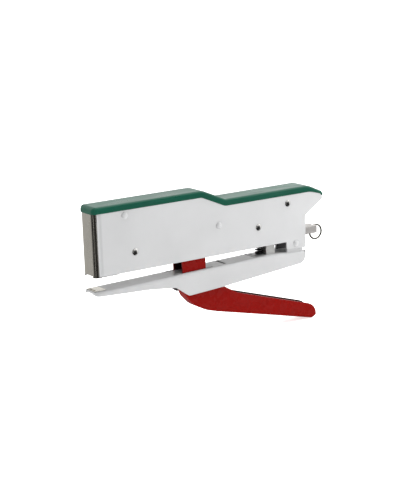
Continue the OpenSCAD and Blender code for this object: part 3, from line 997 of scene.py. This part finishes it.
def handle():
    """Folded channel: a neck that rises into the body, soft bends below, and a round end."""
    sheet = HANDLE_SHEET
    neck = 59.1
    end, bottom = 158.8, -54.3
    slope = 18 / 74.8
    eye = 3.6
    last_fold = 5  # the fold runs from the first corner of each outline to this one

    def fall(x):
        return bottom + slope * (end - x)

    dx, dz = DRIVE_POINT
    outline = rounded([
        (neck, -10, 10), (61.4, -22.9, 10), (67.5, -29.4, 14), (76, -34, 20), (84, fall(84), 40),
        (end, bottom, 2.5), (end, -45, 8), (98, -26.4, 20), (82, -17, 4), (75.4, -11, 3),
        (75.4, 3, 3), (64, 16, 4), (dx + eye + 0.6, dz + eye + 0.4, 3.4),
        (dx - eye, dz + eye, 3.4), (dx - eye - 0.2, dz - eye, 3), (58.7, 2.5, 3),
    ], 10)
    body = folded(
        "folded_handle", finer(outline, 1.5), HANDLE_HALF, HANDLE_BEND, 0, last_fold
    )
    web_top = -10.5
    open_end = bottom + 4.2
    pocket_outline = rounded([
        (neck + sheet, web_top, 0), (61.4 + sheet, -22.5, 9),
        (67.5 + sheet * 0.6, -29.4 + sheet * 0.8, 13), (76 + sheet * 0.3, -34 + sheet, 19),
        (84, fall(84) + sheet, 40), (end - sheet, bottom + sheet * 1.3, 1.2),
        (end - sheet, open_end, 0), (end + 5, open_end, 0), (end + 5, 40, 0), (30, 40, 0),
        (30, web_top, 0),
    ], 10)
    pocket = folded(
        "pocket", finer(pocket_outline, 1.5), HANDLE_HALF - sheet, HANDLE_BEND - sheet, 0, last_fold
    )
    cut(body, [
        pocket,
        across("pivot", HANDLE_PIVOT, PIN_R + 0.04, -HALF, HALF),
        across("pin", DRIVE_POINT, 1.4, -HALF, HALF),
    ])
    soften(body, 0.2, 2, 50)
    dress(shade(body), "handle", "red_paint", RED, "handle")


# ---------------------------------------------------------------- rod


def pusher_rod():
    """One wire: straight in the magazine, a small rise at the notch, and an open finger ring."""
    ring_r = 4.6
    rise = 13
    bend_r = 3
    centre = (rod_high.x - ring_r - ROD_R, 1.2)
    start = (
        centre[0] - ring_r * sin(radians(rise)), centre[1] + ring_r * cos(radians(rise))
    )
    bend_end_z = ROD_Z + bend_r * (1 - cos(radians(rise)))
    run = (start[1] - bend_end_z) / tan(radians(rise))
    bend_x = start[0] - run - bend_r * sin(radians(rise))
    path = [(rod_low.x + ROD_R, 0, ROD_Z), (60, 0, ROD_Z), (120, 0, ROD_Z)]
    path += arc((bend_x, ROD_Z + bend_r), bend_r, -90, -90 + rise, 4)
    path += arc(centre, ring_r, 90 + rise, -170, 64)
    piece = wire("rod_and_ring", path, ROD_R, 18)
    dress(shade(piece, 60), "pusher_rod", "nickel", WIRE, "pusher_rod")


# ---------------------------------------------------------------- build

for side in (-1, 1):
    side_plate(side)
top_cap()
nose()
magazine()
rivets()
anvil_arm()
anvil()
spring_bracket()
springs()
handle()
pusher_rod()

for node, material in (
    ("nose_guide", ZINC), ("magazine_brackets", ZINC), ("rivet_sleeves", ZINC),
    ("anvil_rivets", NICKEL), ("handle_pivot_pin", WHITE), ("pivot_washers", ZINC),
    ("drive_pin", HARD), ("driver_lever", HARD), ("driver_blade", HARD),
    ("rod_plug", TUBE_NICKEL), ("follower", ZINC),
):
    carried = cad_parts[node]
    carried.data.materials.clear()
    carried.data.materials.append(material)

# ---------------------------------------------------------------- floor, light and camera


def floor():
    """A large pale floor just under the lowest point, in metres."""
    size = 12.0
    gap = 0.0002
    low = cad_box[0][2] - gap
    bm = bmesh.new()
    corners = [(-size, -size), (size, -size), (size, size), (-size, size)]
    bm.faces.new([bm.verts.new((x, y, low)) for x, y in corners])
    piece = from_bmesh("floor", bm)
    finish = Finish("floor", Specular_IOR_Level=0.1, Roughness=0.9, Emission_Strength=0.70)
    finish.shader.inputs["Emission Color"].default_value = (1, 1, 1, 1)
    clouds = finish.noise(3, detail=2)
    finish.colour(finish.ramp(clouds, (0.3, (0.93,) * 3), (0.7, (0.96,) * 3)))
    piece.data.materials.append(finish.material)
    piece.visible_glossy = False


def area_light(name, azimuth, elevation, distance, width, height, radiance, glossy=True):
    """A soft light facing the stapler. Azimuth 0 is along -Y, and 90 is along +X."""
    data = bpy.data.lights.new(name, "AREA")
    data.shape = "RECTANGLE"
    data.size = width
    data.size_y = height
    data.energy = radiance * width * height * pi
    light = bpy.data.objects.new(name, data)
    bpy.context.scene.collection.objects.link(light)
    a, e = radians(azimuth), radians(elevation)
    way = Vector((sin(a) * cos(e), -cos(a) * cos(e), sin(e)))
    light.location = Vector((0, 0, 0.06)) + way * distance
    light.rotation_euler = way.to_track_quat("Z", "Y").to_euler()
    light.visible_glossy = glossy


# Light of the dim room, and its cards: azimuth, elevation, inner and outer edge, all in
# degrees, and radiance. A card fades out between its two edges.
ROOM = 0.03
CARDS = [
    (0, 90, 25, 75, 0.9),
    (100, 15, 25, 66, 1.1),
    (160, 35, 20, 60, 0.4),
    (-147, -10, 25, 60, 0.5),
]


def studio():
    """A dim room with pale cards overhead and at the right, and weaker ones behind."""
    world = bpy.data.worlds.new("studio")
    bpy.context.scene.world = world
    world.use_nodes = True
    tree = world.node_tree
    place = tree.nodes.new("ShaderNodeTexCoord").outputs["Generated"]
    total = None
    for azimuth, elevation, inner, outer, radiance in CARDS:
        a, e = radians(azimuth), radians(elevation)
        toward = tree.nodes.new("ShaderNodeVectorMath")
        toward.operation = "DOT_PRODUCT"
        toward.inputs[1].default_value = (sin(a) * cos(e), -cos(a) * cos(e), sin(e))
        tree.links.new(place, toward.inputs[0])
        card = tree.nodes.new("ShaderNodeMapRange")
        card.interpolation_type = "SMOOTHSTEP"
        card.inputs["From Min"].default_value = cos(radians(outer))
        card.inputs["From Max"].default_value = cos(radians(inner))
        card.inputs["To Max"].default_value = radiance
        tree.links.new(toward.outputs["Value"], card.inputs["Value"])
        add = tree.nodes.new("ShaderNodeMath")
        add.inputs[0].default_value = ROOM
        add.inputs[1].default_value = 0
        if total:
            tree.links.new(total, add.inputs[0])
        tree.links.new(card.outputs["Result"], add.inputs[1])
        total = add.outputs["Value"]
    background = tree.nodes["Background"]
    background.inputs["Color"].default_value = (1, 1, 1, 1)
    tree.links.new(total, background.inputs["Strength"])
    area_light("key", 62, 25, 0.35, 0.3, 0.3, 2.5, glossy=False)
    area_light("top", 10, 80, 1.2, 1.1, 1.1, 1.5, glossy=False)
    area_light("strip", -45, -5, 1.2, 0.16, 0.9, 0.7)


def camera():
    """A long lens at the left front, slightly above, from 0.9 m."""
    azimuth, elevation, roll = radians(-33.247), radians(13.268), radians(-2.009)
    lens_mm = 107.0136
    sensor_mm = 36
    distance = 0.9
    target = at(75.26, 0, 3.08)
    back = Vector((
        sin(azimuth) * cos(elevation), -cos(azimuth) * cos(elevation), sin(elevation)
    ))
    right = Vector((0, 0, 1)).cross(back).normalized()
    up = back.cross(right)
    right, up = cos(roll) * right + sin(roll) * up, -sin(roll) * right + cos(roll) * up
    data = bpy.data.cameras.new("camera")
    data.sensor_width = sensor_mm
    data.lens = lens_mm
    data.clip_start = 0.01
    data.clip_end = 50
    view = bpy.data.objects.new("camera", data)
    bpy.context.scene.collection.objects.link(view)
    turn = Matrix((right, up, back)).transposed().to_4x4()
    view.matrix_world = Matrix.Translation(target + back * distance) @ turn
    bpy.context.scene.camera = view


floor()
studio()
camera()
bpy.context.scene.view_settings.view_transform = "Standard"
